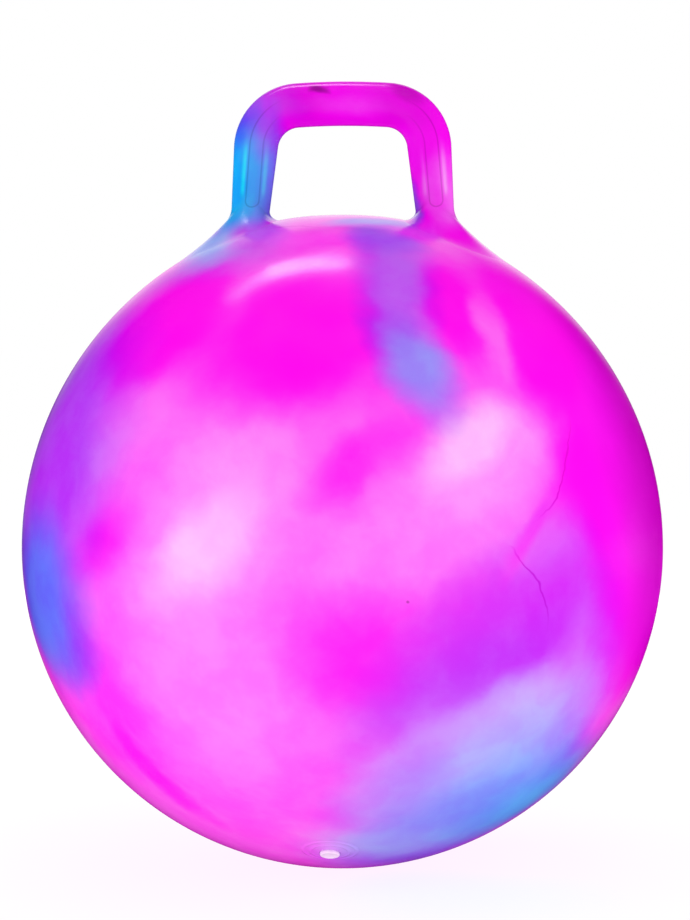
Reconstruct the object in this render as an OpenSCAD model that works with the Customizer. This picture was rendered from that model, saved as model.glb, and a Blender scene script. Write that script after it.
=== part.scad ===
// A hopper ball: an inflated soft ball with a closed loop handle moulded on its
// crown and a plug valve low on its front. Millimetres. The origin is on the
// floor under the ball's axis, +Z is up and -Y is the front.

/* [Ball] */
// Radius of the inflated ball at its widest
ball_r = 225; // [190:1:330]
// How much longer than the ball's radius the flank's radius is, above the widest level
flank_gain = 12; // [2:1:30]
// How much shorter than the ball's radius the shoulder's radius is
shoulder_loss = 50; // [20:1:70]
// Angle above the horizontal at which the flank turns into the shoulder
flank_end = 69; // [60:1:74]
// Angle above the horizontal at which the shoulder turns into the crown
shoulder_end = 85; // [80:0.5:87]
// Thickness of the ball's skin
skin_t = 1.1; // [0.8:0.1:3]
// Radius of the flat patch that the ball's weight presses on the floor
patch_r = 26; // [15:1:45]

/* [Handle] */
// Height of the handle's top over the ball's crown
handle_h = 93.3; // [80:0.1:130]
// Radius of the handle's bar and corners
grip_r = 15.5; // [11:0.5:18]
// Radius of each leg where its flare starts
foot_r = 13.5; // [10:0.5:16]
// Half the length of the bar between its corners
bar_half = 32; // [25:1:60]
// Radius of the bar's slight upward bow
bow_r = 500; // [200:10:2000]
// Radius of each corner along the middle of the handle
corner_r = 31; // [24:1:40]
// Inward lean of each leg, in degrees
leg_lean = 5; // [0:0.5:10]
// Radius of the hollow curve with which each leg flares into the ball
flare_r = 22; // [14:1:30]
// Radius of the sealed bore that runs inside the handle
core_r = 3; // [1.5:0.5:6]
// Solid length between the end of the sealed bore and the ball
core_stop = 14; // [5:1:30]

/* [Valve] */
// Angle of the valve from the bottom of the ball, towards the front
valve_angle = 30.5; // [18:0.5:60]
// Radius of the pad round the valve
pad_r = 19.5; // [16:0.5:25]
// Thickness of the pad over the skin
pad_t = 1.2; // [0.8:0.1:3]
// Radius of the two round ribs on the pad
rib_r = 0.8; // [0.5:0.1:1.5]
// Distance from the pad's outer rib to its inner one
rib_gap = 5; // [3:0.5:7]
// Outer radius of the neck inside the ball
neck_r = 6.8; // [5.5:0.1:9]
// Depth of the neck under the skin's outer face
neck_depth = 16; // [8:1:30]
// Radius of the bore that holds the plug
bore_r = 4; // [2.5:0.1:4.5]
// Depth of the flat recess under the plug's cap
recess_t = 0.6; // [0.2:0.1:0.7]

/* [Plug] */
// Radius of the plug's cap
cap_r = 6.6; // [5:0.1:8]
// Thickness of the plug's cap
cap_t = 2.8; // [2:0.1:5]
// Radius of the cap's rounded edge
cap_edge = 1.1; // [0.4:0.1:1.6]
// Length of the plug's stem under the cap
stem_l = 13; // [8:0.5:25]
// Depth of the grooves between the stem's ridges
groove_t = 0.6; // [0.3:0.1:1]
// Length of each ridge along the stem
ridge_l = 1.6; // [1:0.1:3]
// Number of ridges on the stem
ridge_n = 3; // [2:1:3]

/* [Fits] */
// Clearance round the plug's stem in its bore
stem_gap = 0.05; // [0.02:0.01:0.1]
// Clearance round the plug's cap in its recess
cap_gap = 0.3; // [0.2:0.05:0.6]
// Thickness of the weld line between the valve's seat and the skin
weld_gap = 0.05; // [0.02:0.01:0.2]
// Depth under the ball's surface at which the outer edge of each leg's flare ends
flare_under = 1.6; // [0.5:0.1:3]

/* [Hidden] */
$fn = 128;

// How far a cutting shape runs past what it cuts
overrun = 2;

// Height of the ball's centre over the floor
centre_z = sqrt(pow(ball_r, 2) - pow(patch_r, 2));

// A step of the given length at an angle above the horizontal, in the plane of the handle
function step(length, angle) = length * [cos(angle), sin(angle)];

// Arcs of the ball's outline over its widest level, seen from its centre. Each
// is tangent to the next, and the crown's centre lies on the ball's axis.
flank_r = ball_r + flank_gain;
shoulder_r = ball_r - shoulder_loss;
flank_c = [-flank_gain, 0];
shoulder_c = flank_c + step(flank_r - shoulder_r, flank_end);
crown_r = (shoulder_c[0] + shoulder_r * cos(shoulder_end)) / cos(shoulder_end);
crown_c = shoulder_c + step(shoulder_r - crown_r, shoulder_end);
crown_z = crown_c[1] + crown_r;

// Middle line of the handle's right half, seen from the ball's centre
bar_z = crown_z + handle_h - grip_r;
bow_c = [0, bar_z - bow_r];
bow_angle = asin(bar_half / bow_r);
corner_c = bow_c + step(bow_r - corner_r, 90 - bow_angle);
corner_end = corner_c + step(corner_r, leg_lean);

// Distance from a point, in a direction of length 1, to the circle of a radius round zero
function way_to(point, direction, radius) =
    -point * direction - sqrt(pow(point * direction, 2) - point * point + pow(radius, 2));

// Length of a leg from its corner to where its middle line meets the shoulder
down_leg = step(1, leg_lean - 90);
leg_l = way_to(corner_end - shoulder_c, down_leg, shoulder_r);

// Length of a leg from its corner to its flare, and the angle through which the
// flare's hollow curve turns. The curve's centre is given from the flank's
// centre. At its end the curve runs along the flank, a little way under it.
flare_top = corner_end + step(foot_r + flare_r, leg_lean) - flank_c;
shank_l = way_to(flare_top, down_leg, flank_r + flare_r - flare_under);
flare_c = flare_top + shank_l * down_leg;
flare_turn = atan2(flare_c[1], flare_c[0]) - leg_lean;

// How far the bar and the legs run into the corners, and how much slimmer they are
seat_in = 1;
seat_step = 0.05;

// Levels along the valve's axis, over the skin's outer face
seat_z = pad_t - recess_t;
stem_r = bore_r - stem_gap;
ridge_pitch = stem_l / (ridge_n + 1);

// One band of the ball's half outline, between two levels, from an arc of the given centre
module band(centre, radius, low, high) {
    intersection() {
        translate(centre) circle(radius);
        translate([0, low]) square([2 * ball_r, high - low]);
    }
}

// Half outline of the ball, with its skin taken off to the given depth
module half_outline(depth) {
    floor_level = -centre_z + depth;
    flank_top = flank_c[1] + (flank_r - depth) * sin(flank_end);
    shoulder_top = shoulder_c[1] + (shoulder_r - depth) * sin(shoulder_end);
    band([0, 0], ball_r - depth, floor_level, 0);
    band(flank_c, flank_r - depth, 0, flank_top);
    band(shoulder_c, shoulder_r - depth, flank_top, shoulder_top);
    band(crown_c, crown_r - depth, shoulder_top, crown_z);
}

// A piece of round bar bent along an arc in the plane of the handle
module bent_bar(centre, bend_r, radius, start, end) {
    translate([centre[0], 0, centre[1]])
        rotate([90, 0, 0])
            rotate([0, 0, start])
                rotate_extrude(angle = end - start)
                    translate([bend_r, 0]) circle(radius);
}

// Places a shape at the top of each leg, with +Z down its middle line
module down_each_leg() {
    for (side = [0, 1])
        mirror([side, 0, 0])
            translate([corner_end[0], 0, corner_end[1]])
                rotate([0, 180 - leg_lean, 0])
                    children();
}

// The bowed bar and its two corners. The bar runs a little way into the corners.
module bar_and_corners(radius) {
    bar_angle = asin((bar_half + seat_in) / bow_r);
    bent_bar(bow_c, bow_r, radius - seat_step, 90 - bar_angle, 90 + bar_angle);
    for (side = [0, 1])
        mirror([side, 0, 0])
            bent_bar(corner_c, corner_r, radius, leg_lean, 90 - bow_angle);
}

// A leg that starts in its corner, tapers to its foot, then flares into the ball
module leg() {
    top_r = grip_r - seat_step;
    flare_w = flare_r * (1 - cos(flare_turn));
    rotate_extrude() {
        polygon([[0, -seat_in], [top_r, -seat_in], [foot_r, shank_l], [0, shank_l]]);
        translate([0, shank_l])
            difference() {
                square([foot_r + flare_w, flare_r * sin(flare_turn)]);
                translate([foot_r + flare_r, 0]) circle(flare_r);
            }
    }
}

// The straight end of the sealed bore in a leg, with its round bottom
module leg_bore() {
    end_r = core_r - seat_step;
    end_l = leg_l - core_stop - end_r;
    rotate_extrude() {
        translate([0, -seat_in]) square([end_r, end_l + seat_in]);
        intersection() {
            translate([0, end_l]) circle(end_r);
            translate([0, end_l]) square(end_r);
        }
    }
}

// Places a shape on the valve's axis, with +Z outwards from the skin's outer face
module at_valve() {
    rotate([180 - valve_angle, 0, 0])
        translate([0, 0, ball_r])
            children();
}

// The inflated skin, flat where it rests on the floor, with a hole for the valve's neck
module ball_skin() {
    color([0.98, 0.16, 0.90])
        translate([0, 0, centre_z])
            difference() {
                rotate_extrude()
                    difference() {
                        half_outline(0);
                        half_outline(skin_t);
                    }
                at_valve()
                    translate([0, 0, -neck_depth])
                        cylinder(h = neck_depth + overrun, r = neck_r + weld_gap);
            }
}

// The thick-walled loop handle, with its sealed bore, cut to the ball's crown
module handle() {
    color([0.86, 0.14, 0.92])
        translate([0, 0, centre_z])
            difference() {
                union() {
                    bar_and_corners(grip_r);
                    down_each_leg() leg();
                }
                rotate_extrude() half_outline(0);
                bar_and_corners(core_r);
                down_each_leg() leg_bore();
            }
}

// A round rib on the pad, at the given distance from the valve's axis
module pad_rib(from_axis) {
    rib_z = sqrt(pow(ball_r + pad_t, 2) - pow(from_axis, 2)) - ball_r;
    rotate_extrude() translate([from_axis, rib_z]) circle(rib_r);
}

// The welded pad and neck that hold the plug
module valve_seat() {
    color([0.90, 0.22, 0.92])
        translate([0, 0, centre_z])
            at_valve()
                difference() {
                    union() {
                        intersection() {
                            translate([0, 0, -ball_r]) sphere(ball_r + pad_t);
                            translate([0, 0, -neck_depth]) cylinder(h = 2 * neck_depth, r = pad_r);
                        }
                        pad_rib(pad_r - rib_r);
                        pad_rib(pad_r - rib_r - rib_gap);
                    }
                    difference() {
                        translate([0, 0, -ball_r]) sphere(ball_r + weld_gap);
                        translate([0, 0, -neck_depth]) cylinder(h = 2 * neck_depth, r = neck_r);
                    }
                    translate([0, 0, -neck_depth - overrun])
                        cylinder(h = neck_depth + pad_t + 2 * overrun, r = bore_r);
                    translate([0, 0, seat_z]) cylinder(h = recess_t + overrun, r = cap_r + cap_gap);
                }
}

// The plug: a round-edged cap on a ridged stem
module valve_plug() {
    color("white")
        translate([0, 0, centre_z])
            at_valve()
                rotate_extrude() {
                    translate([0, seat_z]) square([cap_r, cap_t - cap_edge]);
                    translate([0, seat_z]) square([cap_r - cap_edge, cap_t]);
                    intersection() {
                        translate([cap_r - cap_edge, seat_z + cap_t - cap_edge]) circle(cap_edge);
                        translate([0, seat_z]) square([cap_r, cap_t]);
                    }
                    translate([0, seat_z - stem_l]) square([stem_r - groove_t, stem_l]);
                    for (i = [1:ridge_n])
                        translate([0, seat_z - i * ridge_pitch - ridge_l / 2])
                            square([stem_r, ridge_l]);
                }
}

ball_skin();
handle();
valve_seat();
valve_plug();
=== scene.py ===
"""A hopper ball: an inflated ball of marbled vinyl with a closed loop handle and a plug valve.

Metres. The origin is on the floor under the ball's axis, +Z is up and -Y is the front.
"""

import math

import bmesh
import bpy
from mathutils import Matrix, Vector


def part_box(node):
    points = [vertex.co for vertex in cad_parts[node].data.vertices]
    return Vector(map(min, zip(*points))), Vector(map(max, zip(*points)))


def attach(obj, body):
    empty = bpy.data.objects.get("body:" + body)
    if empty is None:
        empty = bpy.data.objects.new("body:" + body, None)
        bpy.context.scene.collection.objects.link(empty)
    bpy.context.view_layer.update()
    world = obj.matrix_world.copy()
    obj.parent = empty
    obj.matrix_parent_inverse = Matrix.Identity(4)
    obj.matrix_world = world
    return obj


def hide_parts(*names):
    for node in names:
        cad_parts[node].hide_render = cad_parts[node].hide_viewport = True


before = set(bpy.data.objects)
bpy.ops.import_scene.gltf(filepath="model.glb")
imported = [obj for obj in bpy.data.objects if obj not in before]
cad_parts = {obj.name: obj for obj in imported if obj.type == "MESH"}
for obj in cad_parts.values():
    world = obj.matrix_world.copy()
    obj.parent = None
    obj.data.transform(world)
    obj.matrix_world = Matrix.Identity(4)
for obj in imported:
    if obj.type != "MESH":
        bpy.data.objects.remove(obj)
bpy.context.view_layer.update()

MM = 0.001
DEG = math.radians(1)

# The ball: its widest radius, its flat patch, and the arcs of its outline over the widest level
BALL_LOW, BALL_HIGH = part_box("ball_skin")
BALL_R = (BALL_HIGH.x - BALL_LOW.x) / 2
PATCH_R = 26 * MM
CENTRE_Z = math.sqrt(BALL_R**2 - PATCH_R**2)
FLANK_GAIN = 12 * MM
SHOULDER_LOSS = 50 * MM
FLANK_END = 69 * DEG
SHOULDER_END = 85 * DEG
BALL_SIDES = 192
ARC_STEP = 1.5 * DEG

# The handle: radius of its bar and of its feet, and the bends along its middle line
HANDLE_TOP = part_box("handle")[1].z
GRIP_R = 15.5 * MM
FOOT_R = 13.5 * MM
BAR_HALF = 32 * MM
BOW_R = 500 * MM
CORNER_R = 31 * MM
LEG_LEAN = 5 * DEG
HANDLE_SIDES = 72
BAR_RINGS = 10
CORNER_RINGS = 18
SHANK_RINGS = 14
FILLET_RINGS = 24

# The hollow curve into the ball: tight inside the loop, outside it wide with a gentle skirt
INNER_FILLET_R = 5 * MM
OUTER_FILLET_R = 20 * MM
INNER_SKIRT_R = 8 * MM
OUTER_SKIRT_R = 230 * MM
FILLET_BEND = 40 * DEG
FILLET_UNDER = 0.12 * MM
# How its radii grow from inside to outside round the leg, and the search for where it starts
OUTWARD_POWER = 1.6
SEARCH_TURNS = [i * DEG for i in range(20, 110)]
SEARCH_DEPTH = 200 * MM
SEARCH_STEPS = 18

# The valve: its axis, its pad and ribs, and the plug in it
VALVE_ANGLE = 30.5 * DEG
PAD_R = 19.5 * MM
PAD_T = 1.2 * MM
RIB_R = 0.8 * MM
RIB_RISE = 0.4 * MM
RIB_GAP = 5 * MM
NECK_R = 6.8 * MM
NECK_DEPTH = 16 * MM
BORE_R = 4 * MM
RECESS_T = 0.6 * MM
CAP_R = 6.6 * MM
CAP_T = 2.8 * MM
CAP_EDGE = 1.1 * MM
STEM_L = 13 * MM
STEM_GAP = 0.05 * MM
CAP_GAP = 0.3 * MM
GROOVE_T = 0.6 * MM
RIDGE_L = 1.6 * MM
RIDGE_N = 3
VALVE_SIDES = 96

# The view: the camera's distance from the ball's centre, its angles, where it aims and its lens
VIEW_DISTANCE = 1.8
VIEW_AZIMUTH = 4.2 * DEG
VIEW_ELEVATION = 5 * DEG
VIEW_RISE = 61 * MM
VIEW_ASIDE = 1.8 * MM
LENS_MM = 99.54


# The ball's outline

def step(length, angle):
    """A step of a given length at an angle above the horizontal, in an outline's plane."""
    return Vector((length * math.cos(angle), length * math.sin(angle)))


FLANK_R = BALL_R + FLANK_GAIN
SHOULDER_R = BALL_R - SHOULDER_LOSS
FLANK_C = Vector((-FLANK_GAIN, 0))
SHOULDER_C = FLANK_C + step(FLANK_R - SHOULDER_R, FLANK_END)
CROWN_R = (SHOULDER_C.x + SHOULDER_R * math.cos(SHOULDER_END)) / math.cos(SHOULDER_END)
CROWN_C = SHOULDER_C + step(SHOULDER_R - CROWN_R, SHOULDER_END)


def height_over_ball(place):
    """Distance of a place from the ball's surface, above it positive."""
    out = Vector((math.hypot(place.x, place.y), place.z - CENTRE_Z))
    if out.y < 0:
        return out.length - BALL_R
    if math.atan2(out.y, out.x - FLANK_C.x) < FLANK_END:
        return (out - FLANK_C).length - FLANK_R
    if math.atan2(out.y - SHOULDER_C.y, out.x - SHOULDER_C.x) < SHOULDER_END:
        return (out - SHOULDER_C).length - SHOULDER_R
    return (out - CROWN_C).length - CROWN_R


def arc(centre, radius, start, end):
    """Points of an arc of an outline, from one angle to another."""
    count = max(2, math.ceil(abs(end - start) / ARC_STEP))
    return [centre + step(radius, start + (end - start) * i / count) for i in range(count + 1)]


def small_arc(centre, radius, start, end, count=6):
    """Points of a small rounding in an outline."""
    return [centre + step(radius, start + (end - start) * i / count) for i in range(count + 1)]


# Modelling tools

def nothing_selected():
    """Leaves edit mode and deselects everything, as an operator acts on all that is selected."""
    if bpy.context.mode != "OBJECT":
        bpy.ops.object.mode_set(mode="OBJECT")
    bpy.ops.object.select_all(action="DESELECT")


def lone_point(name, place):
    """A new piece in edit mode that is one selected point."""
    nothing_selected()
    bpy.ops.mesh.primitive_plane_add(size=BALL_R, location=(0, 0, 0))
    piece = bpy.context.object
    piece.name = name
    piece.data.name = name
    bpy.ops.object.mode_set(mode="EDIT")
    bpy.ops.mesh.select_all(action="SELECT")
    bpy.ops.mesh.merge(type="CENTER")
    bpy.ops.transform.translate(value=place)
    return piece


def turned(name, outline, sides):
    """A piece turned about the vertical axis from the points (distance from the axis, height)."""
    points = [Vector((p.x, 0, p.y)) for p in outline]
    piece = lone_point(name, points[0])
    for start, end in zip(points, points[1:]):
        bpy.ops.mesh.extrude_region_move(TRANSFORM_OT_translate={"value": end - start})
    bpy.ops.mesh.select_all(action="SELECT")
    bpy.ops.mesh.spin(steps=sides, angle=2 * math.pi, center=(0, 0, 0), axis=(0, 0, 1))
    close_up()
    return piece


def close_up():
    """Merges doubled points and points all faces outwards."""
    bpy.ops.mesh.select_all(action="SELECT")
    bpy.ops.mesh.remove_doubles(threshold=0.002 * MM)
    bpy.ops.mesh.normals_make_consistent(inside=False)
    bpy.ops.object.mode_set(mode="OBJECT")


def smooth(piece, angle=40 * DEG):
    """Shades a piece smooth, but not over edges sharper than the angle."""
    nothing_selected()
    piece.select_set(True)
    bpy.context.view_layer.objects.active = piece
    bpy.ops.object.shade_smooth_by_angle(angle=angle)
    piece.select_set(False)


def apply_modifiers(piece):
    """Makes the piece's modifiers part of its mesh."""
    nothing_selected()
    piece.select_set(True)
    bpy.context.view_layer.objects.active = piece
    for name in [m.name for m in piece.modifiers]:
        bpy.ops.object.modifier_apply(modifier=name)


# The ball

def make_ball():
    """The inflated skin, flat where it rests on the floor, with its true outline."""
    patch_angle = -math.acos(PATCH_R / BALL_R)
    outline = [Vector((0, -CENTRE_Z))]
    outline += arc(Vector((0, 0)), BALL_R, patch_angle, 0)
    outline += arc(FLANK_C, FLANK_R, 0, FLANK_END)[1:]
    outline += arc(SHOULDER_C, SHOULDER_R, FLANK_END, SHOULDER_END)[1:]
    outline += arc(CROWN_C, CROWN_R, SHOULDER_END, 90 * DEG)[1:]
    ball = turned("ball_vinyl", [Vector((p.x, p.y + CENTRE_Z)) for p in outline], BALL_SIDES)
    smooth(ball)
    return ball


# The handle

BAR_Z = HANDLE_TOP - GRIP_R
BOW_ANGLE = math.asin(BAR_HALF / BOW_R)
BOW_C = Vector((0, BAR_Z - BOW_R))
CORNER_C = BOW_C + step(BOW_R - CORNER_R, 90 * DEG - BOW_ANGLE)
LEG_TOP = CORNER_C + step(CORNER_R, LEG_LEAN)
LEG_OUT = Vector((math.cos(LEG_LEAN), 0, math.sin(LEG_LEAN)))
LEG_DOWN = Vector((math.sin(LEG_LEAN), 0, -math.cos(LEG_LEAN)))
LEG_FRONT = Vector((0, -1, 0))
LEG_START = Vector((LEG_TOP.x, 0, LEG_TOP.y))


def beside_leg(angle, distance, down):
    """A place by the right leg: its angle from outwards to the front, and how far off and down."""
    aside = LEG_OUT * math.cos(angle) + LEG_FRONT * math.sin(angle)
    return LEG_START + LEG_DOWN * down + aside * distance


def outward_blend(angle, inner, outer):
    """A radius between the one inside the loop and the one outside, at an angle round the leg."""
    outward = (1 + math.cos(angle)) / 2
    return inner + (outer - inner) * outward**OUTWARD_POWER


def on_hollow_curve(angle, top, turn):
    """A place on the hollow curve that starts at top down the leg and has turned through turn."""
    fillet_r = outward_blend(angle, INNER_FILLET_R, OUTER_FILLET_R)
    skirt_r = outward_blend(angle, INNER_SKIRT_R, OUTER_SKIRT_R)
    bend = min(turn, FILLET_BEND)
    aside = fillet_r * (1 - math.cos(bend)) + skirt_r * (math.cos(bend) - math.cos(turn))
    down = fillet_r * math.sin(bend) + skirt_r * (math.sin(turn) - math.sin(bend))
    return beside_leg(angle, FOOT_R + aside, top + down)


def hollow_curve(angle):
    """Where the hollow curve starts and how far it turns, to end just under the ball's surface."""

    def lowest(top):
        """The least height over the ball of a curve that starts at top, and its turn there."""
        places = [on_hollow_curve(angle, top, turn) for turn in SEARCH_TURNS]
        heights = [height_over_ball(place) for place in places]
        low = min(heights)
        return low, SEARCH_TURNS[heights.index(low)]

    high, deep = 0.0, SEARCH_DEPTH
    for _ in range(SEARCH_STEPS):
        middle = (high + deep) / 2
        if lowest(middle)[0] > -FILLET_UNDER:
            high = middle
        else:
            deep = middle
    return high, lowest(high)[1]


def shape_ring(piece, place_at):
    """Moves each point of the selected ring to where its angle round the leg puts it."""
    mesh = bmesh.from_edit_mesh(piece.data)
    for point in [v for v in mesh.verts if v.select]:
        away = point.co - LEG_START
        angle = math.atan2(away.dot(LEG_FRONT), away.dot(LEG_OUT))
        point.co = place_at(angle)
    bmesh.update_edit_mesh(piece.data)


def next_ring(piece, place_at):
    """Extrudes the selected ring and shapes the new one."""
    bpy.ops.mesh.extrude_region_move(TRANSFORM_OT_translate={"value": (0, 0, 0)})
    shape_ring(piece, place_at)


def make_handle():
    """The loop: half is drawn along its middle line from the bar to the ball, then mirrored."""
    nothing_selected()
    bpy.ops.mesh.primitive_circle_add(
        vertices=HANDLE_SIDES, radius=GRIP_R, location=(0, 0, BAR_Z), rotation=(0, 90 * DEG, 0)
    )
    handle = bpy.context.object
    handle.name = "handle_vinyl"
    handle.data.name = "handle_vinyl"
    bpy.ops.object.transform_apply(location=True, rotation=True, scale=True)
    bpy.ops.object.mode_set(mode="EDIT")
    bpy.ops.mesh.select_all(action="SELECT")
    bpy.ops.mesh.spin(
        steps=BAR_RINGS, angle=BOW_ANGLE, center=(BOW_C.x, 0, BOW_C.y), axis=(0, -1, 0)
    )
    bpy.ops.mesh.spin(
        steps=CORNER_RINGS,
        angle=90 * DEG - BOW_ANGLE - LEG_LEAN,
        center=(CORNER_C.x, 0, CORNER_C.y),
        axis=(0, -1, 0),
    )

    curves = {}

    def curve_at(angle):
        """The hollow curve at an angle round the leg, worked out once for both sides."""
        key = round(abs(angle) / DEG, 3)
        if key not in curves:
            curves[key] = hollow_curve(angle)
        return curves[key]

    for i in range(1, SHANK_RINGS + 1):
        share = i / SHANK_RINGS

        def on_shank(angle, share=share):
            """The shank runs straight from the corner to where the hollow curve starts."""
            top = curve_at(angle)[0]
            return beside_leg(angle, GRIP_R + (FOOT_R - GRIP_R) * share, top * share)

        next_ring(handle, on_shank)
    for i in range(1, FILLET_RINGS + 1):
        share = i / FILLET_RINGS

        def on_fillet(angle, share=share):
            """The fillet follows the hollow curve to just under the ball."""
            top, turn = curve_at(angle)
            return on_hollow_curve(angle, top, turn * share)

        next_ring(handle, on_fillet)
    bpy.ops.mesh.extrude_region_move(TRANSFORM_OT_translate={"value": LEG_DOWN * GRIP_R})
    bpy.ops.mesh.merge(type="CENTER")
    bpy.ops.object.mode_set(mode="OBJECT")
    mirror = handle.modifiers.new("other_half", "MIRROR")
    mirror.use_axis = (True, False, False)
    mirror.merge_threshold = 0.01 * MM
    apply_modifiers(handle)
    bpy.ops.object.mode_set(mode="EDIT")
    close_up()
    smooth(handle)
    return handle


# The valve

def on_valve_axis(piece):
    """Moves a piece turned about the vertical axis, its zero on the skin, onto the valve's axis."""
    place = (
        Matrix.Translation((0, 0, CENTRE_Z))
        @ Matrix.Rotation(math.pi - VALVE_ANGLE, 4, "X")
        @ Matrix.Translation((0, 0, BALL_R))
    )
    piece.data.transform(place)
    piece.data.update()


def over_skin(from_axis, over):
    """An outline's point at a distance from the valve's axis and a height over the sphere."""
    return Vector((from_axis, math.sqrt((BALL_R + over) ** 2 - from_axis**2) - BALL_R))


def make_valve_seat():
    """The pad welded on the skin, thin at its rim, with two soft ribs and the plug's neck."""
    seat_z = PAD_T - RECESS_T
    outer_rib = PAD_R - 2 * RIB_R
    inner_rib = outer_rib - RIB_GAP
    rib_w = 2.2 * RIB_R
    rib_steps = 8
    edge_r = 0.5 * MM
    edge_under = 0.1 * MM
    lead_in = 0.3 * MM
    rim_t = 0.1 * MM
    rim_w = 1.2 * MM
    under_skin = 0.6 * MM
    rim_thinning = 0.85

    def pad_top(from_axis, rise=0.0):
        """A point of the pad's top, which comes down towards its rim."""
        thin = rim_thinning * (from_axis / PAD_R) ** 2
        return over_skin(from_axis, PAD_T * (1 - thin) + rise)

    def rib(from_axis):
        """Points over a soft round rib."""
        points = []
        for i in range(rib_steps + 1):
            along = 1 - 2 * i / rib_steps
            rise = RIB_RISE * 0.5 * (1 + math.cos(math.pi * along))
            points.append(pad_top(from_axis - along * rib_w, rise))
        return points

    outline = [Vector((BORE_R, -NECK_DEPTH)), Vector((BORE_R, seat_z - lead_in))]
    outline += [Vector((BORE_R + lead_in, seat_z))]
    outline += [Vector((CAP_R + CAP_GAP, seat_z))]
    outline += [Vector((CAP_R + CAP_GAP, PAD_T - edge_r * 0.5))]
    outline += small_arc(
        Vector((CAP_R + CAP_GAP + edge_r, PAD_T - edge_under)), edge_r, 180 * DEG, 90 * DEG
    )
    outline += rib(inner_rib) + rib(outer_rib)
    outline += [over_skin(PAD_R, rim_t), over_skin(PAD_R + rim_w, -rim_t)]
    outline += [over_skin(PAD_R, -under_skin), over_skin(NECK_R, -under_skin)]
    outline += [Vector((NECK_R, -NECK_DEPTH)), Vector((BORE_R, -NECK_DEPTH))]
    seat = turned("valve_pad", outline, VALVE_SIDES)
    on_valve_axis(seat)
    smooth(seat)
    return seat


def make_plug():
    """The plug: a cap with a round edge and a shallow dish, on a ridged stem."""
    seat_z = PAD_T - RECESS_T
    stem_r = BORE_R - STEM_GAP
    groove_r = stem_r - GROOVE_T
    pitch = STEM_L / (RIDGE_N + 1)
    bevel = 0.25 * MM
    dish_r = 0.6 * CAP_R
    dish_t = 0.45 * MM
    top = seat_z + CAP_T
    outline = [Vector((0, seat_z - STEM_L)), Vector((groove_r - bevel, seat_z - STEM_L))]
    outline += [Vector((groove_r, seat_z - STEM_L + bevel))]
    for i in range(RIDGE_N, 0, -1):
        low = seat_z - i * pitch - RIDGE_L / 2
        high = low + RIDGE_L
        outline += [Vector((groove_r, low)), Vector((stem_r - bevel, low + bevel / 2))]
        outline += [Vector((stem_r, low + bevel * 1.5)), Vector((stem_r, high - bevel * 1.5))]
        outline += [Vector((stem_r - bevel, high - bevel / 2)), Vector((groove_r, high))]
    outline += [Vector((groove_r, seat_z)), Vector((CAP_R - CAP_EDGE / 2, seat_z))]
    outline += small_arc(
        Vector((CAP_R - CAP_EDGE / 2, seat_z + CAP_EDGE / 2)), CAP_EDGE / 2, -90 * DEG, 0
    )
    outline += small_arc(
        Vector((CAP_R - CAP_EDGE, seat_z + CAP_T - CAP_EDGE)), CAP_EDGE, 0, 90 * DEG, 8
    )
    outline += [Vector((dish_r + dish_t, top)), Vector((dish_r, top - dish_t * 0.3))]
    outline += [Vector((dish_r * 0.8, top - dish_t * 0.8)), Vector((dish_r * 0.5, top - dish_t))]
    outline += [Vector((0, top - dish_t))]
    plug = turned("plug_cap_and_stem", outline, VALVE_SIDES)
    on_valve_axis(plug)
    smooth(plug)
    return plug


# Node tools

def add(tree, kind, **values):
    """A new node with its properties set to the given values."""
    made = tree.nodes.new(kind)
    for name, value in values.items():
        setattr(made, name, value)
    return made


def new_group(name, inputs, outputs):
    """A new shader node group, whose inputs are (name, kind, default) and outputs (name, kind).

    It gives the group's tree, its input node and its output node.
    """
    tree = bpy.data.node_groups.new(name, "ShaderNodeTree")
    for title, kind, default in inputs:
        socket = tree.interface.new_socket(title, in_out="INPUT", socket_type=kind)
        if default is not None:
            socket.default_value = default
    for title, kind in outputs:
        tree.interface.new_socket(title, in_out="OUTPUT", socket_type=kind)
    return tree, add(tree, "NodeGroupInput"), add(tree, "NodeGroupOutput")


def place_group(tree, group):
    """A node that uses a group."""
    made = add(tree, "ShaderNodeGroup")
    made.node_tree = group
    return made


def math_node(tree, operation, first, second=None, clamp=False):
    """Arithmetic on one or two sockets or numbers. It gives the result's socket."""
    made = add(tree, "ShaderNodeMath", operation=operation, use_clamp=clamp)
    for i, value in enumerate((first, second)):
        if value is None:
            continue
        if isinstance(value, (int, float)):
            made.inputs[i].default_value = value
        else:
            tree.links.new(value, made.inputs[i])
    return made.outputs[0]


def ramp(tree, value, from_low, from_high, to_low=0.0, to_high=1.0, smoothly=True):
    """Takes a value from one range to another, softly at both ends unless told otherwise."""
    kind = "SMOOTHSTEP" if smoothly else "LINEAR"
    made = add(tree, "ShaderNodeMapRange", interpolation_type=kind)
    tree.links.new(value, made.inputs["Value"])
    made.inputs["From Min"].default_value = from_low
    made.inputs["From Max"].default_value = from_high
    made.inputs["To Min"].default_value = to_low
    made.inputs["To Max"].default_value = to_high
    return made.outputs["Result"]


def blend_value(tree, share, first, second):
    """Mixes two numbers or sockets by a share."""
    made = add(tree, "ShaderNodeMix", data_type="FLOAT")
    for socket, value in ((0, share), (2, first), (3, second)):
        if isinstance(value, (int, float)):
            made.inputs[socket].default_value = value
        else:
            tree.links.new(value, made.inputs[socket])
    return made.outputs[0]


def noise(tree, vector, size, detail=2.0, roughness=0.5, distortion=0.0):
    """Soft noise whose lumps are about the given size."""
    made = add(tree, "ShaderNodeTexNoise")
    made.inputs["Scale"].default_value = 1 / size
    made.inputs["Detail"].default_value = detail
    made.inputs["Roughness"].default_value = roughness
    made.inputs["Distortion"].default_value = distortion
    tree.links.new(vector, made.inputs["Vector"])
    return made


# The marbling of the vinyl

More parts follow.
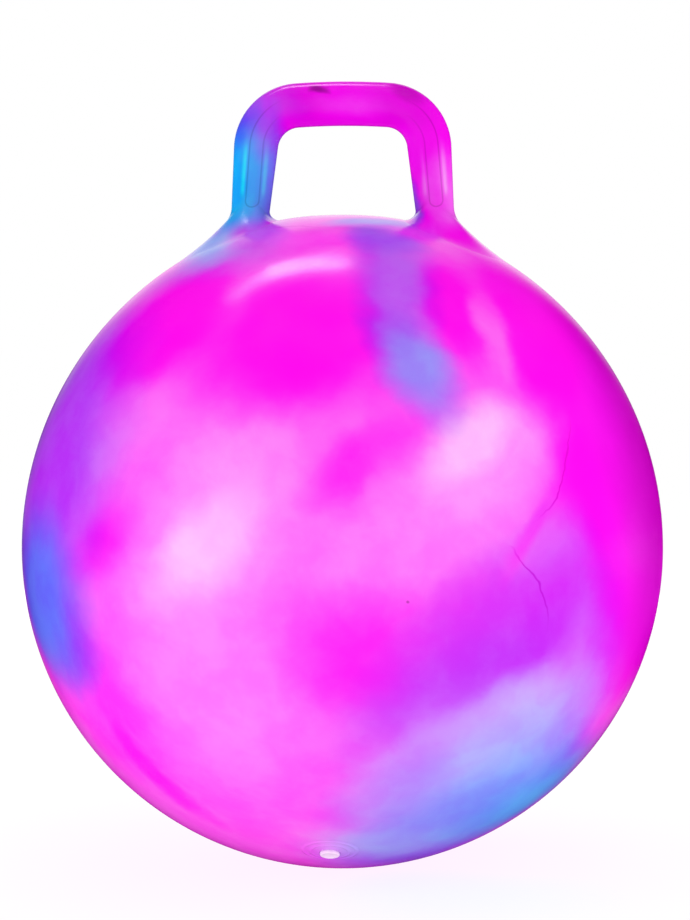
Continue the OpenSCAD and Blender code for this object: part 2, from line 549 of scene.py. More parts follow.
# Each patch: longitude from the front towards +X and latitude on the ball in degrees, tilt
# in degrees, half length and half width in mm, softness, and what it brings its value to
MILKY_PATCHES = {
    "milky_low_left": (-18, -17, -74, 70, 54, 1.4, 0.46),
    "milky_upper_band": (-20, 23, 7, 72, 30, 1.2, 0.41),
    "milky_middle": (12, 3, 5, 80, 30, 1.2, 0.44),
    "left_side": (-60, 4, 82, 110, 44, 1.0, 0.2),
    "low_left_side": (-46, -26, -71, 66, 40, 1.0, 0.23),
    "deep_right_side": (77, 20, 97, 165, 124, 0.34, 0.0),
    "deep_top_left": (-42, 44, 52, 50, 42, 1.0, 0.0),
    "deep_top_middle": (-5, 42, 30, 60, 52, 1.1, 0.0),
    "deep_top_right": (33, 48, 74, 42, 18, 1.1, 0.0),
    "deep_crown": (2, 64, 0, 36, 20, 1.2, 0.23),
    "deep_band": (8, 19, 33, 42, 16, 1.2, 0.18),
    "deep_low_middle": (8, -12, -10, 40, 30, 1.7, 0.15),
    "purple_middle": (31, -8, 16, 68, 34, 0.9, 0.23),
    "deep_spot_left": (-40, 3, 24, 30, 17, 1.8, 0.1),
    "deep_low_left": (-40, -40, -70, 40, 10, 1.4, 0.1),
    "halo_left": (-17, 8, 52, 68, 40, 1.1, 0.53),
    "pale_left": (-19, 5, 54, 42, 20, 1.2, 0.7),
    "halo_right": (29, 18, 28, 64, 36, 1.1, 0.52),
    "pale_right": (27, 23, 36, 34, 17, 1.2, 0.68),
    "pale_tongue": (39, 41, 78, 36, 11, 1.2, 0.34),
    "streak_low": (18, 36, -76, 32, 18, 1.2, 0.52),
    "streak_high": (20, 54, 79, 48, 16, 1.2, 0.33),
    "purple_low": (40, -8, 50, 32, 16, 1.5, 0.18),
    "lavender_halo": (34, -34, 30, 98, 58, 0.4, 0.5),
    "lavender": (37, -31, 55, 52, 40, 0.9, 0.62),
    "lavender_low": (20, -56, 0, 58, 26, 1.4, 0.58),
    "streak_right": (37, 6, 51, 27, 6, 1.5, 0.24),
    "azure_low_right": (57, -46, 38, 48, 32, 1.6, 0.62),
    "blue_left_back": (-88, 8, -25, 60, 24, 1.4, 0.42),
    "blue_left_side": (-60, -7, 88, 54, 40, 1.1, 0.4),
    "blue_left_root": (-64, 66, -20, 44, 26, 1.1, 0.6),
    "violet_left_root": (-42, 70, -40, 26, 18, 1.1, 0.22),
    "violet_right_root": (44, 72, 10, 26, 18, 1.1, 0.2),
    "pale_crown": (22, 76, 0, 24, 10, 1.2, 0.5),
    "deep_right_root": (70, 68, 40, 30, 22, 1.1, 0.0),
}
BLUE_PATCHES = {
    "violet_left_side": (-62, 20, -64, 100, 82, 1.0, 0.32),
    "blue_left_low": (-52, -11, -65, 40, 38, 1.1, 0.4),
    "blue_left_back": (-88, 8, -25, 62, 26, 1.4, 0.5),
    "blue_left_side": (-62, -6, 88, 50, 46, 1.1, 0.64),
    "streak_high": (20, 54, 80, 64, 24, 1.2, 0.27),
    "streak_low": (18, 36, -72, 38, 20, 1.3, 0.42),
    "streak_root": (23, 68, 3, 22, 20, 1.2, 0.38),
    "purple_wide": (36, -18, 40, 120, 80, 0.8, 0.2),
    "magenta_right": (84, 12, 92, 120, 132, 0.4, 0.04),
    "blue_low_right": (36, -39, 32, 92, 56, 1.0, 0.34),
    "blue_low_edge": (44, -47, 40, 70, 46, 1.1, 0.52),
    "purple_low": (31, -16, 26, 60, 24, 1.4, 0.27),
    "blue_low_front": (34, -62, 0, 58, 42, 1.7, 0.42),
    "streak_right": (37, 6, 51, 27, 6, 1.5, 0.08),
    "azure_low_right": (58, -46, 38, 50, 32, 1.6, 0.64),
    "violet_left_shoulder": (-46, 60, 20, 44, 20, 1.4, 0.16),
    "blue_left_root": (-64, 67, -20, 42, 26, 1.1, 0.48),
    "violet_left_root": (-44, 70, -40, 32, 22, 1.1, 0.2),
    "violet_right_root": (46, 72, 10, 26, 16, 1.1, 0.14),
    "pale_crown": (28, 76, 0, 26, 12, 1.2, 0.36),
    "deep_right_root": (72, 67, 40, 34, 24, 1.1, 0.02),
}
# Patches that dim all three channels: darker over the right side, and a small speck
DARK_PATCHES = {
    "dark_right_side": (74, 16, 84, 104, 40, 1.6, 0.15),
    "speck": (15, -4, 0, 1.0, 0.8, 1.2, 0.25),
}
# Thin curved lines where two streams met: longitude and latitude of the curve's centre, its
# radius in mm, then longitude, latitude and half length in mm of the stretch that shows
VEINS = {
    "vein_high": (23.5, 28, 93, 44, 17, 33),
    "vein_low": (25, -9, 62, 37, -2, 24),
    "vein_crown": (-22, 58, 62, -22, 73, 16),
}
VEIN_HALF_W = 0.5
# The same on the handle: place in mm right of the middle and over the floor, tilt, and so on
HANDLE_MILKY_PATCHES = {
    "violet_bar": (-44, 531, 10, 17, 13, 1.6, 0.22),
    "violet_inner_left": (-51, 476, 84, 40, 9, 1.3, 0.42),
    "pale_blue_left": (-67, 482, 86, 44, 15, 1.1, 0.66),
    "azure_left": (-77, 482, 86, 40, 7, 1.2, 0.66),
    "violet_corner": (-66, 524, 50, 17, 12, 1.8, 0.3),
    "bright_bar": (5, 534, 0, 24, 8, 1.4, 0.17),
    "pink_right": (74, 468, -84, 28, 11, 1.4, 0.4),
    "pale_right_foot": (50, 460, -80, 14, 5, 1.2, 0.3),
    "pink_core_right": (63, 470, -86, 18, 8, 1.3, 0.26),
}
HANDLE_BLUE_PATCHES = {
    "violet_bar": (-42, 531, 10, 18, 14, 1.6, 0.15),
    "violet_corner": (-67, 521, 46, 19, 14, 1.9, 0.4),
    "violet_inner_left": (-50, 476, 84, 40, 9, 1.3, 0.56),
    "pale_blue_left": (-66, 480, 86, 40, 13, 1.1, 0.74),
    "azure_left": (-76, 480, 86, 38, 9, 1.2, 0.92),
    "violet_right_foot": (50, 460, -80, 16, 5, 1.2, 0.4),
}
HANDLE_DARK_PATCHES = {
    "deep_bar_left": (-26, 534, 0, 18, 14, 1.2, 0.07),
    "deep_bar_right": (42, 532, -30, 22, 13, 1.2, 0.07),
    "dark_blot": (-12, 545, 0, 5, 2.4, 1.4, 0.36),
    "dark_corner": (46, 543, -25, 12, 5, 1.3, 0.18),
}
# Half of the least depth of a patch under the surface, in mm
PATCH_DEPTH = 90
# Latitude over which the ball's patches also show on the handle's roots
ROOT_LATITUDE = 50 * DEG
# Height from which the handle's colours take over from the ball's, and over how far
ROOT_LEVEL = 438 * MM
ROOT_FADE = 18 * MM

# What the handle's milk, blue and dark values are where no patch lies
HANDLE_MILK = 0.01
HANDLE_BLUE = 0.05
HANDLE_DARK = 0.02

# The hollow core, shown on the legs as painted lines and glints where refraction would show it: its
# radius, its place across and its end down the leg
CORE_R = 4.6 * MM
CORE_ASIDE = 2 * MM
CORE_END = 39 * MM
# How much the painted glints beside the core lift the milk, and how much painted shade darkens the
# core's outline
PAINTED_CORE_GLINT = 0.2
PAINTED_CORE_LINE_SHADE = 0.12

# How much of its milk the vinyl loses in a vein, and how much darker it is there
VEIN_MILK_LOSS = 0.5
VEIN_DARK = 0.09

# The wander that gives the patches flowing edges: its lumps' size, and twice its farthest move
DRIFT_SIZE = 95 * MM
DRIFT_REACH = 32 * MM
SWIRL_SIZE = 34 * MM
SWIRL_REACH = 13 * MM
# Behind the ball's axis: where the front's even milk ends, and where only the back's clouds show
FRONT_ENDS = 10 * MM
BACK_STARTS = 90 * MM
# The front's milk where no patch lies, and the most of milk and blue at the back
FRONT_MILK = 0.33
BACK_MILK = 0.62
BACK_BLUE = 0.75
# The fine cloudiness: its lumps' size, and how much it changes the milk
WISP_SIZE = 38 * MM
WISP_REACH = 0.035
# Red as displayed without blue, and how much of it full blue takes away
FULL_RED = 0.995
BLUE_LOSS = 0.97
# The blue channel as displayed without milk, and what full milk adds to it
LEAST_VIOLET = 0.91
MILK_GAIN = 0.06
DISPLAY_GAMMA = 2.2


def soft_patch_group():
    """A mask that is 1 inside the unit ball round zero and fades over its edge."""
    tree, given, result = new_group(
        "soft_patch",
        [("Vector", "NodeSocketVector", None), ("Softness", "NodeSocketFloat", 0.8)],
        [("Mask", "NodeSocketFloat")],
    )
    length = add(tree, "ShaderNodeVectorMath", operation="LENGTH")
    tree.links.new(given.outputs["Vector"], length.inputs[0])
    half = math_node(tree, "MULTIPLY", given.outputs["Softness"], 0.5)
    outer = math_node(tree, "ADD", 1.0, half)
    fade = add(tree, "ShaderNodeMapRange", interpolation_type="SMOOTHSTEP")
    tree.links.new(length.outputs["Value"], fade.inputs["Value"])
    tree.links.new(math_node(tree, "SUBTRACT", 1.0, half), fade.inputs["From Min"])
    tree.links.new(outer, fade.inputs["From Max"])
    fade.inputs["To Min"].default_value = 1.0
    fade.inputs["To Max"].default_value = 0.0
    tree.links.new(fade.outputs["Result"], result.inputs["Mask"])
    return tree


def lay_patches(tree, vector, value, patches, place_of, soft_patch):
    """Brings a value to that of each patch in turn, within its mask."""
    for name, (across, up, tilt, half_l, half_w, softness, target) in patches.items():
        place, turn = place_of(across, up, tilt)
        mapping = add(tree, "ShaderNodeMapping", vector_type="TEXTURE", label=name)
        tree.links.new(vector, mapping.inputs["Vector"])
        mapping.inputs["Location"].default_value = place
        mapping.inputs["Rotation"].default_value = turn
        depth = max(half_l, PATCH_DEPTH)
        mapping.inputs["Scale"].default_value = (half_l * MM, half_w * MM, depth * MM)
        mask = place_group(tree, soft_patch)
        mask.inputs["Softness"].default_value = softness
        tree.links.new(mapping.outputs[0], mask.inputs["Vector"])
        value = blend_value(tree, mask.outputs["Mask"], value, target)
    return value


def lay_veins(tree, vector, soft_patch):
    """A mask of thin curved lines, each a stretch of a circle on the ball."""
    value = 0.0
    for name, (longitude, latitude, radius, near_lon, near_lat, reach) in VEINS.items():
        place, turn = on_ball(longitude, latitude, 0)
        local = add(tree, "ShaderNodeMapping", vector_type="TEXTURE", label=name)
        tree.links.new(vector, local.inputs["Vector"])
        local.inputs["Location"].default_value = place
        local.inputs["Rotation"].default_value = turn
        flat = add(tree, "ShaderNodeVectorMath", operation="MULTIPLY")
        flat.inputs[1].default_value = (1, 1, 0)
        tree.links.new(local.outputs[0], flat.inputs[0])
        distance = add(tree, "ShaderNodeVectorMath", operation="LENGTH")
        tree.links.new(flat.outputs[0], distance.inputs[0])
        off = math_node(tree, "SUBTRACT", distance.outputs["Value"], radius * MM)
        off = math_node(tree, "ABSOLUTE", off)
        line = ramp(tree, off, 0.3 * VEIN_HALF_W * MM, 2 * VEIN_HALF_W * MM, 1.0, 0.0)
        stretch = add(tree, "ShaderNodeMapping", vector_type="TEXTURE", label=name)
        tree.links.new(vector, stretch.inputs["Vector"])
        stretch.inputs["Location"].default_value = on_ball(near_lon, near_lat, 0)[0]
        stretch.inputs["Scale"].default_value = (reach * MM, reach * MM, reach * MM)
        mask = place_group(tree, soft_patch)
        tree.links.new(stretch.outputs[0], mask.inputs["Vector"])
        shown = math_node(tree, "MULTIPLY", line, mask.outputs["Mask"])
        value = math_node(tree, "MAXIMUM", value, shown)
    return value


def frame_turn(along, across, out):
    """Euler angles of a frame given by its three directions."""
    return Matrix((along, across, out)).transposed().to_euler("XYZ")


def on_ball(longitude, latitude, tilt):
    """A patch's place on the ball and the turn that lays it flat there."""
    lon, lat, tip = longitude * DEG, latitude * DEG, tilt * DEG
    out = Vector((math.cos(lat) * math.sin(lon), -math.cos(lat) * math.cos(lon), math.sin(lat)))
    east = Vector((math.cos(lon), math.sin(lon), 0))
    north = out.cross(east)
    if north.z < 0:
        north.negate()
    along = east * math.cos(tip) + north * math.sin(tip)
    place = out * BALL_R + Vector((0, 0, CENTRE_Z))
    return place, frame_turn(along, out.cross(along), out)


def on_handle(right, up, tilt):
    """A patch's place on the handle's middle plane and the turn that faces it to the front."""
    tip = tilt * DEG
    along = Vector((math.cos(tip), 0, math.sin(tip)))
    out = Vector((0, -1, 0))
    return Vector((right * MM, 0, up * MM)), frame_turn(along, out.cross(along), out)


def painted_core_light_group():
    """Masks of painted light for the handle's core: a painted dark line on its outline and painted
    glints beside it.

    It shows on the front and back of the legs.
    """
    tree, given, result = new_group(
        "painted_core_light",
        [("Vector", "NodeSocketVector", None)],
        [("Painted Dark Line", "NodeSocketFloat"), ("Painted Glint", "NodeSocketFloat")],
    )
    axes = add(tree, "ShaderNodeSeparateXYZ")
    tree.links.new(given.outputs["Vector"], axes.inputs[0])
    centred = math_node(tree, "SUBTRACT", axes.outputs["X"], CORE_ASIDE)
    aside = math_node(tree, "ABSOLUTE", centred)
    out = math_node(tree, "SUBTRACT", aside, LEG_TOP.x)
    up = math_node(tree, "SUBTRACT", axes.outputs["Z"], LEG_TOP.y)
    lean_out = math_node(tree, "MULTIPLY", out, LEG_OUT.x)
    lean_up = math_node(tree, "MULTIPLY", up, LEG_OUT.z)
    across_leg = math_node(tree, "ADD", lean_out, lean_up)
    down_out = math_node(tree, "MULTIPLY", out, LEG_DOWN.x)
    down_up = math_node(tree, "MULTIPLY", up, LEG_DOWN.z)
    down = math_node(tree, "ADD", down_out, down_up)

    # In the corner the core follows the bend
    corner = add(tree, "ShaderNodeCombineXYZ")
    tree.links.new(math_node(tree, "SUBTRACT", aside, CORNER_C.x), corner.inputs[0])
    tree.links.new(math_node(tree, "SUBTRACT", axes.outputs["Z"], CORNER_C.y), corner.inputs[2])
    from_corner = add(tree, "ShaderNodeVectorMath", operation="LENGTH")
    tree.links.new(corner.outputs[0], from_corner.inputs[0])
    across_corner = math_node(tree, "SUBTRACT", from_corner.outputs["Value"], CORNER_R)
    on_leg = math_node(tree, "GREATER_THAN", down, 0.0)
    across = blend_value(tree, on_leg, across_corner, across_leg)
    past_end = math_node(tree, "MAXIMUM", math_node(tree, "SUBTRACT", down, CORE_END), 0.0)
    off_core = add(tree, "ShaderNodeCombineXYZ")
    tree.links.new(across, off_core.inputs[0])
    tree.links.new(past_end, off_core.inputs[2])
    off = add(tree, "ShaderNodeVectorMath", operation="LENGTH")
    tree.links.new(off_core.outputs[0], off.inputs[0])

    from_middle = math_node(tree, "ABSOLUTE", axes.outputs["Y"])
    faces = ramp(tree, from_middle, 0.55 * FOOT_R, 0.8 * FOOT_R)
    before_bar = ramp(tree, aside, BAR_HALF + CORNER_R / 4, BAR_HALF + CORNER_R)
    shown = math_node(tree, "MULTIPLY", faces, before_bar)
    # A painted dark line where refraction would outline the hollow core
    off_line = math_node(tree, "SUBTRACT", off.outputs["Value"], CORE_R)
    from_line = math_node(tree, "ABSOLUTE", off_line)
    line = ramp(tree, from_line, 0.2 * MM, 0.8 * MM, 1.0, 0.0)
    tree.links.new(math_node(tree, "MULTIPLY", line, shown), result.inputs["Painted Dark Line"])

    # Painted glints in bands beside the core, standing in for light reflected and refracted there
    beside = ramp(tree, off.outputs["Value"], 1.15 * CORE_R, 1.5 * CORE_R)
    edge = ramp(tree, off.outputs["Value"], 1.6 * CORE_R, 2.2 * CORE_R, 1.0, 0.0)
    along = ramp(tree, down, -8 * MM, 12 * MM)
    before_end = ramp(tree, down, CORE_END, 0.8 * CORE_END)
    glow = math_node(tree, "MULTIPLY", math_node(tree, "MULTIPLY", beside, edge), shown)
    glow = math_node(tree, "MULTIPLY", glow, math_node(tree, "MULTIPLY", along, before_end))
    tree.links.new(glow, result.inputs["Painted Glint"])
    return tree


def wander(tree, vector, colour, reach):
    """Moves a place by a noise's colour, whose middle grey is no move."""
    centred = add(tree, "ShaderNodeVectorMath", operation="SUBTRACT")
    centred.inputs[1].default_value = (0.5, 0.5, 0.5)
    tree.links.new(colour, centred.inputs[0])
    scaled = add(tree, "ShaderNodeVectorMath", operation="SCALE")
    scaled.inputs["Scale"].default_value = reach
    tree.links.new(centred.outputs[0], scaled.inputs[0])
    moved = add(tree, "ShaderNodeVectorMath", operation="ADD")
    tree.links.new(vector, moved.inputs[0])
    tree.links.new(scaled.outputs[0], moved.inputs[1])
    return moved.outputs[0]


def reaching_roots(patches):
    """Those of the ball's patches that come up to the handle's roots."""
    kept = {}
    for name, patch in patches.items():
        _, latitude, _, half_l, half_w, softness, _ = patch
        reach = max(half_l, half_w) * (1 + softness / 2) * MM / BALL_R
        if latitude * DEG + reach > ROOT_LATITUDE:
            kept[name] = patch
    return kept


def lay_handle(tree, vector, flow, ball_values, soft_patch):
    """The handle's milk, blue and dark values, with its core's painted glints and painted dark
    line, which take over from the ball's over its roots.
    """
    level = add(tree, "ShaderNodeSeparateXYZ")
    tree.links.new(vector, level.inputs[0])
    on_loop = ramp(tree, level.outputs["Z"], ROOT_LEVEL, ROOT_LEVEL + ROOT_FADE)
    core = place_group(tree, painted_core_light_group())
    tree.links.new(vector, core.inputs["Vector"])
    # The core's painted glints lift the milk, and its painted dark line adds to the dark
    glow = math_node(tree, "MULTIPLY", core.outputs["Painted Glint"], PAINTED_CORE_GLINT)
    outline = math_node(tree, "MULTIPLY", core.outputs["Painted Dark Line"], PAINTED_CORE_LINE_SHADE)
    milk = lay_patches(tree, flow, HANDLE_MILK, HANDLE_MILKY_PATCHES, on_handle, soft_patch)
    milk = math_node(tree, "ADD", milk, glow)
    blue = lay_patches(tree, flow, HANDLE_BLUE, HANDLE_BLUE_PATCHES, on_handle, soft_patch)
    dark = lay_patches(tree, flow, HANDLE_DARK, HANDLE_DARK_PATCHES, on_handle, soft_patch)
    dark = math_node(tree, "ADD", dark, outline)
    pairs = zip(ball_values, (milk, blue, dark))
    return [blend_value(tree, on_loop, ball_value, value) for ball_value, value in pairs]


def marbled_vinyl_group(name, soft_patch, with_handle):
    """The vinyl's colour: magenta, milky pink and blue that ran into each other before they set.

    A Cycles shader has room for a limited number of values, and one that needs more renders
    black. So the ball and the handle have a group each, and the handle's holds only those of
    the ball's patches that come up to its roots. The handle's group also paints light: glints
    and a dark line on the legs where refraction would show the hollow core.
    """
    tree, given, result = new_group(
        name, [("Vector", "NodeSocketVector", None)], [("Color", "NodeSocketColor")]
    )
    vector = given.outputs["Vector"]
    # A slow wander of the place, so that the patches have flowing edges
    drift = noise(tree, vector, DRIFT_SIZE, 3.0, 0.55)
    flow = wander(tree, vector, drift.outputs["Color"], DRIFT_REACH)
    swirl = noise(tree, vector, SWIRL_SIZE, 3.0, 0.6)
    flow = wander(tree, flow, swirl.outputs["Color"], SWIRL_REACH)

    # The front's even milk gives way to the back's clouds over the sides
    axes = add(tree, "ShaderNodeSeparateXYZ")
    tree.links.new(flow, axes.inputs[0])
    front = ramp(tree, axes.outputs["Y"], BACK_STARTS, FRONT_ENDS)

    # The back's clouds of milk and its streams of blue, which are a little milky too
    clouds = noise(tree, flow, 170 * MM, 2.0, 0.5, 0.4).outputs["Fac"]
    stream = noise(tree, flow, 210 * MM, 1.0, 0.5, 0.8)
    stream.noise_dimensions = "4D"
    stream.inputs["W"].default_value = 3.7
    back_milk = ramp(tree, clouds, 0.34, 0.72, 0.0, BACK_MILK)
    back_blue = ramp(tree, stream.outputs["Fac"], 0.5, 0.68, 0.0, BACK_BLUE)
    stream_milk = math_node(tree, "MULTIPLY", back_blue, 0.6)
    back_milk = math_node(tree, "MAXIMUM", back_milk, stream_milk)
    milk = blend_value(tree, front, back_milk, FRONT_MILK)
    blue = blend_value(tree, front, back_blue, 0.0)

    placed = [MILKY_PATCHES, BLUE_PATCHES, DARK_PATCHES]
    if with_handle:
        placed = [reaching_roots(patches) for patches in placed]
    values = [
        lay_patches(tree, flow, value, patches, on_ball, soft_patch)
        for value, patches in zip((milk, blue, 0.0), placed)
    ]
    if with_handle:
        milk, blue, dark = lay_handle(tree, vector, flow, values, soft_patch)
    else:
        milk, blue, dark = values
        veins = lay_veins(tree, flow, soft_patch)
        milk_loss = math_node(tree, "MULTIPLY", veins, VEIN_MILK_LOSS)
        milk = blend_value(tree, milk_loss, milk, 0.0)
        dark = math_node(tree, "ADD", dark, math_node(tree, "MULTIPLY", veins, VEIN_DARK))

    # Fine cloudiness
    wisps = noise(tree, flow, WISP_SIZE, 4.0, 0.6).outputs["Fac"]
    cloudiness = ramp(tree, wisps, 0.3, 0.7, -WISP_REACH, WISP_REACH)
    milk = math_node(tree, "ADD", milk, cloudiness, clamp=True)

    # Blue takes away the red, milk lifts the green, and dark dims all three
    red_loss = math_node(tree, "MULTIPLY", blue, BLUE_LOSS)
    red = math_node(tree, "SUBTRACT", FULL_RED, red_loss, clamp=True)
    light = math_node(tree, "SUBTRACT", 1.0, dark, clamp=True)
    made = add(tree, "ShaderNodeCombineColor")
    tree.links.new(math_node(tree, "MULTIPLY", red, light), made.inputs[0])
    tree.links.new(math_node(tree, "MULTIPLY", milk, light), made.inputs[1])
    milk_gain = math_node(tree, "MULTIPLY", milk, MILK_GAIN)
    violet = math_node(tree, "ADD", LEAST_VIOLET, milk_gain, clamp=True)
    tree.links.new(math_node(tree, "MULTIPLY", violet, light), made.inputs[2])
    gamma = add(tree, "ShaderNodeGamma")
    gamma.inputs["Gamma"].default_value = DISPLAY_GAMMA
    tree.links.new(made.outputs[0], gamma.inputs["Color"])
    tree.links.new(gamma.outputs[0], result.inputs["Color"])
    return tree


# The vinyl's and the plug's surface relief: its strength and its height
VINYL_RELIEF = (0.12, 0.4 * MM)
PLUG_RELIEF = (0.1, 0.2 * MM)
# How strongly the vinyl mirrors straight on, as the shader's level
VINYL_SPECULAR = 0.15
# The plug's two tints, and its least and greatest roughness
PLUG_TINTS = ((0.95, 0.74, 0.97, 1), (0.93, 0.64, 0.96, 1))
PLUG_ROUGHNESS = (0.3, 0.42)


def moulded_finish_group():
    """The sheen of moulded vinyl: soft changes of roughness, and a faint orange peel with dust."""
    tree, given, result = new_group(
        "moulded_finish",
        [
            ("Vector", "NodeSocketVector", None),
            ("Smoothest", "NodeSocketFloat", 0.14),
            ("Roughest", "NodeSocketFloat", 0.24),
        ],
        [("Roughness", "NodeSocketFloat"), ("Height", "NodeSocketFloat")],
    )
    vector = given.outputs["Vector"]
    haze = noise(tree, vector, 60 * MM, 4.0, 0.6).outputs["Fac"]
    spread = ramp(tree, haze, 0.35, 0.7)
    rough = blend_value(tree, spread, given.outputs["Smoothest"], given.outputs["Roughest"])
    tree.links.new(rough, result.inputs["Roughness"])
    peel = noise(tree, vector, 9 * MM, 2.0, 0.5).outputs["Fac"]
    grain = noise(tree, vector, 1.6 * MM, 2.0, 0.6).outputs["Fac"]
    height = math_node(tree, "ADD", peel, math_node(tree, "MULTIPLY", grain, 0.12))
    tree.links.new(height, result.inputs["Height"])
    return tree


def lay_finish(tree, places, finish, strength, distance):
    """Gives the material's shader its sheen and relief. It returns the sheen's node."""
    shader = tree.nodes["Principled BSDF"]
    sheen = place_group(tree, finish)
    tree.links.new(places, sheen.inputs["Vector"])
    tree.links.new(sheen.outputs["Roughness"], shader.inputs["Roughness"])
    bump = add(tree, "ShaderNodeBump")
    bump.inputs["Strength"].default_value = strength
    bump.inputs["Distance"].default_value = distance
    tree.links.new(sheen.outputs["Height"], bump.inputs["Height"])
    tree.links.new(bump.outputs["Normal"], shader.inputs["Normal"])
    return sheen


def vinyl_material(name, marbled, finish):
    """Glossy marbled vinyl, whose colour on the handle also holds painted light for its core."""
    material = bpy.data.materials.new(name)
    material.use_nodes = True
    tree = material.node_tree
    shader = tree.nodes["Principled BSDF"]
    shader.inputs["Specular IOR Level"].default_value = VINYL_SPECULAR
    places = add(tree, "ShaderNodeTexCoord").outputs["Object"]
    colour = place_group(tree, marbled)
    tree.links.new(places, colour.inputs["Vector"])
    tree.links.new(colour.outputs["Color"], shader.inputs["Base Color"])
    lay_finish(tree, places, finish, *VINYL_RELIEF)
    return material


def plug_material(finish):
    """The plug's milky white plastic."""
    material = bpy.data.materials.new("plug_plastic")
    material.use_nodes = True
    tree = material.node_tree
    shader = tree.nodes["Principled BSDF"]
    places = add(tree, "ShaderNodeTexCoord").outputs["Object"]
    stain = noise(tree, places, 3 * MM, 3.0).outputs["Fac"]
    tint = add(tree, "ShaderNodeMix", data_type="RGBA")
    tree.links.new(ramp(tree, stain, 0.35, 0.7), tint.inputs[0])
    tint.inputs[6].default_value, tint.inputs[7].default_value = PLUG_TINTS
    tree.links.new(tint.outputs[2], shader.inputs["Base Color"])
    sheen = lay_finish(tree, places, finish, *PLUG_RELIEF)
    sheen.inputs["Smoothest"].default_value = PLUG_ROUGHNESS[0]
    sheen.inputs["Roughest"].default_value = PLUG_ROUGHNESS[1]
    return material


def dress(piece, material):
    """Gives a piece its one material."""
    piece.data.materials.clear()
    piece.data.materials.append(material)


# The studio

# How much of the floor is a glow, for light and for the camera, and how bright the glow is
FLOOR_GLOW = 0.85
FLOOR_GLOW_SEEN = 0.8
FLOOR_GLOW_LEVEL = 1.06
FLOOR_SIZE = 60
# How bright the studio round the ball is as light
STUDIO_LEVEL = 0.8


def make_floor():
    """A wide pale floor, mostly a glow, that still keeps the ball's shadow."""
    nothing_selected()
    bpy.ops.mesh.primitive_plane_add(size=FLOOR_SIZE, location=(0, 0, 0))
    floor = bpy.context.object
    floor.name = "studio_floor"
    material = bpy.data.materials.new("studio_floor")
    material.use_nodes = True
    tree = material.node_tree
    tree.nodes.clear()
    matt = add(tree, "ShaderNodeBsdfDiffuse")
    matt.inputs["Color"].default_value = (0.95, 0.95, 0.95, 1)
    glow = add(tree, "ShaderNodeEmission")
    glow.inputs["Strength"].default_value = FLOOR_GLOW_LEVEL
    rays = add(tree, "ShaderNodeLightPath")
    share = blend_value(tree, rays.outputs["Is Camera Ray"], FLOOR_GLOW, FLOOR_GLOW_SEEN)
    mix = add(tree, "ShaderNodeMixShader")
    out = add(tree, "ShaderNodeOutputMaterial")
    tree.links.new(share, mix.inputs[0])
    tree.links.new(matt.outputs[0], mix.inputs[1])
    tree.links.new(glow.outputs[0], mix.inputs[2])
    tree.links.new(mix.outputs[0], out.inputs["Surface"])
    material.cycles.emission_sampling = "NONE"
    floor.data.materials.append(material)
    floor.visible_glossy = False


# Softboxes low round the ball: side, place across and behind in metres, and power in watts
LOW_FILLS = (
    ("front", 0, -1.8, 7),
    ("back", 0, 1.8, 7),
    ("left", -1.6, 0.5, 13),
    ("right", 1.6, 0.5, 11),
)
LOW_FILL_Z = 0.12
LOW_FILL_AIM = (0, 0, 0.1)
LOW_FILL_WIDTH = 2.4
LOW_FILL_HEIGHT = 0.2

# The softbox overhead: place and aim in metres, width, length and power
HIGH_FILL = ((0, 0, 2.2), (0, 0, 0.4), 1.5, 1.5, 6)

# Lamps overhead that are only mirrored: name, place in metres, width, length, turn and power
HIGHLIGHTS = (
    ("highlight_lamp", (-0.33, 0.68, 2.2), 0.66, 0.3, 0, 7),
    ("highlight_tail", (-0.82, 0.57, 2.2), 0.46, 0.2, 32 * DEG, 1.6),
)

# The wall that the vinyl mirrors: part of the way from straight down to straight up, and level
WALL_LEVELS = (
    (0.0, 0.0),
    (0.14, 0.0),
    (0.18, 0.15),
    (0.22, 0.0),
    (0.50, 0.0),
    (0.58, 1.1),
    (0.78, 1.1),
    (0.82, 0.0),
    (1.0, 0.0),
)
# Where the wall fades in and out across and behind, in parts of a direction of length 1
WALL_LEFT = (-0.5, -0.18)
WALL_RIGHT = (0.3, 0.05)
WALL_BEHIND = (0.2, 0.5)


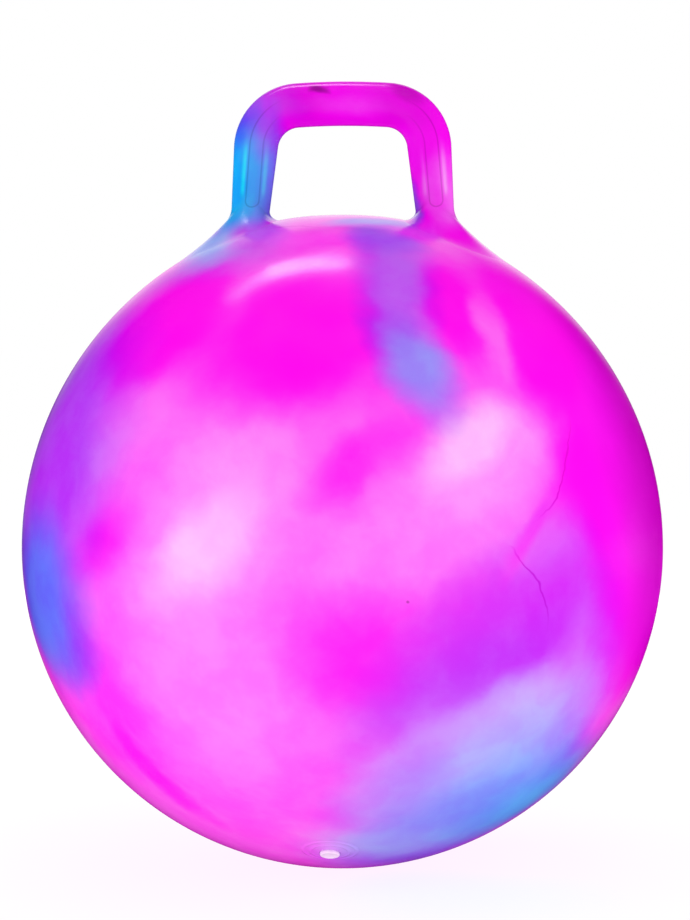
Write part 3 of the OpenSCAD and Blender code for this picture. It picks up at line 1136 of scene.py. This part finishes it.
def make_world():
    """White to the camera, an even studio as light, and in reflections a white wall behind."""
    world = bpy.data.worlds.new("studio")
    world.cycles.sampling_method = "NONE"
    bpy.context.scene.world = world
    world.use_nodes = True
    tree = world.node_tree
    tree.nodes.clear()
    rays = add(tree, "ShaderNodeLightPath")
    directions = add(tree, "ShaderNodeTexCoord").outputs["Generated"]
    axes = add(tree, "ShaderNodeSeparateXYZ")
    tree.links.new(directions, axes.inputs[0])
    height = ramp(tree, axes.outputs["Z"], -1.0, 1.0, smoothly=False)
    bands = add(tree, "ShaderNodeValToRGB")
    bands.color_ramp.interpolation = "EASE"
    stops = bands.color_ramp.elements
    for up, _ in WALL_LEVELS[1:-1]:
        stops.new(up)
    for stop, (up, level) in zip(stops, WALL_LEVELS):
        stop.position = up
        stop.color = (level, level, level, 1)
    tree.links.new(height, bands.inputs[0])
    wall = bands.outputs["Color"]
    for axis, edge in (("X", WALL_LEFT), ("X", WALL_RIGHT), ("Y", WALL_BEHIND)):
        wall = math_node(tree, "MULTIPLY", wall, ramp(tree, axes.outputs[axis], *edge))
    light = blend_value(tree, rays.outputs["Is Glossy Ray"], STUDIO_LEVEL, wall)
    light = blend_value(tree, rays.outputs["Is Transmission Ray"], light, 1.0)
    light = blend_value(tree, rays.outputs["Is Camera Ray"], light, 1.0)
    background = add(tree, "ShaderNodeBackground")
    background.inputs["Color"].default_value = (1, 1, 1, 1)
    tree.links.new(light, background.inputs["Strength"])
    out = add(tree, "ShaderNodeOutputWorld")
    tree.links.new(background.outputs[0], out.inputs["Surface"])


def add_lamp(name, width, length, power):
    """A rectangular lamp that faces down. Sizes are in metres and power in watts."""
    lamp = bpy.data.lights.new(name, "AREA")
    lamp.shape = "RECTANGLE"
    lamp.size = width
    lamp.size_y = length
    lamp.energy = power
    box = bpy.data.objects.new(name, lamp)
    bpy.context.scene.collection.objects.link(box)
    return box


def add_fill(name, place, aim, width, length, power):
    """A softbox that lights and isn't mirrored."""
    box = add_lamp(name, width, length, power)
    box.location = place
    box.rotation_euler = (Vector(aim) - Vector(place)).to_track_quat("-Z", "Y").to_euler()
    box.visible_glossy = False


def add_highlight(name, place, width, length, turn, power):
    """A lamp overhead that is only mirrored."""
    box = add_lamp(name, width, length, power)
    box.location = place
    box.rotation_euler = (0, 0, turn)
    box.visible_diffuse = False


def make_camera():
    """The camera where the photograph was taken from, aimed a little over the ball's centre."""
    centre = Vector((0, 0, CENTRE_Z))
    away = Vector(
        (
            math.sin(VIEW_AZIMUTH) * math.cos(VIEW_ELEVATION),
            -math.cos(VIEW_AZIMUTH) * math.cos(VIEW_ELEVATION),
            math.sin(VIEW_ELEVATION),
        )
    )
    right = (-away).cross(Vector((0, 0, 1))).normalized()
    up = right.cross(-away)
    lens = bpy.data.cameras.new("studio_camera")
    lens.lens = LENS_MM
    lens.sensor_fit = "AUTO"
    camera = bpy.data.objects.new("studio_camera", lens)
    bpy.context.scene.collection.objects.link(camera)
    camera.location = centre + away * VIEW_DISTANCE
    aim = centre + up * VIEW_RISE + right * VIEW_ASIDE
    camera.rotation_euler = (aim - camera.location).to_track_quat("-Z", "Y").to_euler()
    bpy.context.scene.camera = camera


soft_patch = soft_patch_group()
marbled_ball = marbled_vinyl_group("marbled_ball", soft_patch, False)
marbled_handle = marbled_vinyl_group("marbled_handle", soft_patch, True)
finish = moulded_finish_group()

ball = make_ball()
dress(ball, vinyl_material("ball_vinyl", marbled_ball, finish))
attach(ball, "ball")
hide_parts("ball_skin")

handle = make_handle()
dress(handle, vinyl_material("handle_vinyl", marbled_handle, finish))
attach(handle, "ball")
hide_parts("handle")

seat = make_valve_seat()
dress(seat, vinyl_material("valve_vinyl", marbled_ball, finish))
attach(seat, "ball")
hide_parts("valve_seat")

plug = make_plug()
dress(plug, plug_material(finish))
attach(plug, "plug")
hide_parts("valve_plug")

make_floor()
make_world()
for highlight in HIGHLIGHTS:
    add_highlight(*highlight)
add_fill("high_fill", *HIGH_FILL)
for name, x, y, power in LOW_FILLS:
    place = (x, y, LOW_FILL_Z)
    add_fill(f"low_fill_{name}", place, LOW_FILL_AIM, LOW_FILL_WIDTH, LOW_FILL_HEIGHT, power)
make_camera()
bpy.context.scene.view_settings.view_transform = "Standard"
